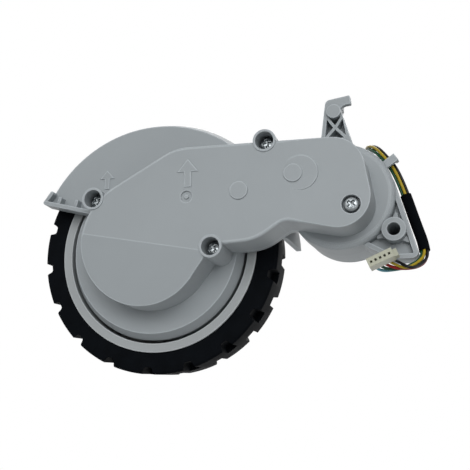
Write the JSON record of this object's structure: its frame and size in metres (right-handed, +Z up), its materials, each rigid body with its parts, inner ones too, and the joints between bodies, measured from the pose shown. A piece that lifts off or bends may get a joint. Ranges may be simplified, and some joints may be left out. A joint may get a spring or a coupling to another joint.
{
  "type": "robot vacuum drive wheel module",
  "caption": "Swing-arm drive wheel with geared motor, wheel-arch fender, spring hook, pivot bore and wired plug.",
  "frame": {"origin": "wheel centre on the axle, at the front face of the rim's ring", "axes": "+Y along the wheel's axle, away from the gearbox cover towards the wheel's open side; +X from the wheel towards the pivot; +Z up towards the fender and the spring hook"},
  "size_m": [0.111, 0.0383, 0.0751],
  "materials": {
    "tyre": "matt",
    "rim_plastic": "satin",
    "steel": "ground",
    "screw_steel": "zinc plated",
    "bronze": "sintered",
    "gear_plastic": "satin",
    "pinion_brass": "machined",
    "shell_plastic": "fine texture",
    "can_steel": "plated",
    "black_plastic": "satin",
    "magnet": "matt",
    "board": "lacquered",
    "grommet_rubber": "matt",
    "black_wire": "smooth",
    "red_wire": "smooth",
    "yellow_wire": "smooth",
    "green_wire": "smooth",
    "blue_wire": "smooth",
    "sleeve_cloth": "woven",
    "plug_plastic": "satin",
    "terminal_metal": "tin plated"
  },
  "bodies": {
    "housing": {"rear_bush": "bronze", "front_bush": "bronze", "third_gear_pin": "steel", "second_gear_pin": "steel", "first_gear_pin": "steel", "gearbox_cover": "shell_plastic", "gearbox_housing": "shell_plastic", "cover_screws": "screw_steel", "motor_can": "can_steel", "motor_end_cap": "black_plastic", "encoder_board": "board", "hall_sensors": "black_plastic", "motor_screws": "screw_steel", "motor_cover": "shell_plastic", "motor_cover_screws": "screw_steel", "wire_grommet": "grommet_rubber", "wire_black": "black_wire", "wire_red": "red_wire", "wire_yellow": "yellow_wire", "wire_green": "green_wire", "wire_blue": "blue_wire", "harness_sleeve": "sleeve_cloth", "connector_housing": "plug_plastic", "connector_terminals": "terminal_metal"},
    "wheel": {"wheel_rim": "rim_plastic", "tyre": "tyre", "output_shaft": "steel", "output_gear": "gear_plastic", "wheel_washer": "steel", "wheel_screw": "screw_steel"},
    "third_stage": {"third_gear": "gear_plastic"},
    "second_stage": {"second_gear": "gear_plastic"},
    "first_stage": {"first_gear": "gear_plastic"},
    "rotor": {"motor_shaft": "steel", "motor_pinion": "pinion_brass", "encoder_magnet": "magnet"}
  },
  "joints": [
    {"name": "wheel_spin", "type": "hinge", "parent": "housing", "child": "wheel", "pos_m": [0, 0, 0], "axis": [0, 1, 0], "continuous": true},
    {"name": "third_gear_spin", "type": "hinge", "parent": "housing", "child": "third_stage", "pos_m": [0.01293, 0, 0.0112], "axis": [0, 1, 0], "continuous": true},
    {"name": "second_gear_spin", "type": "hinge", "parent": "housing", "child": "second_stage", "pos_m": [0.02761, 0, 0.01181], "axis": [0, 1, 0], "continuous": true},
    {"name": "first_gear_spin", "type": "hinge", "parent": "housing", "child": "first_stage", "pos_m": [0.04242, 0, 0.01548], "axis": [0, 1, 0], "continuous": true},
    {"name": "motor_spin", "type": "hinge", "parent": "housing", "child": "rotor", "pos_m": [0.05158, 0, 0.01201], "axis": [0, 1, 0], "continuous": true}
  ],
  "couplings": [
    {"joint": "third_gear_spin", "follows": "wheel_spin", "ratio": -2.8},
    {"joint": "second_gear_spin", "follows": "wheel_spin", "ratio": 7},
    {"joint": "first_gear_spin", "follows": "wheel_spin", "ratio": -19.688},
    {"joint": "motor_spin", "follows": "wheel_spin", "ratio": 60.703}
  ]
}
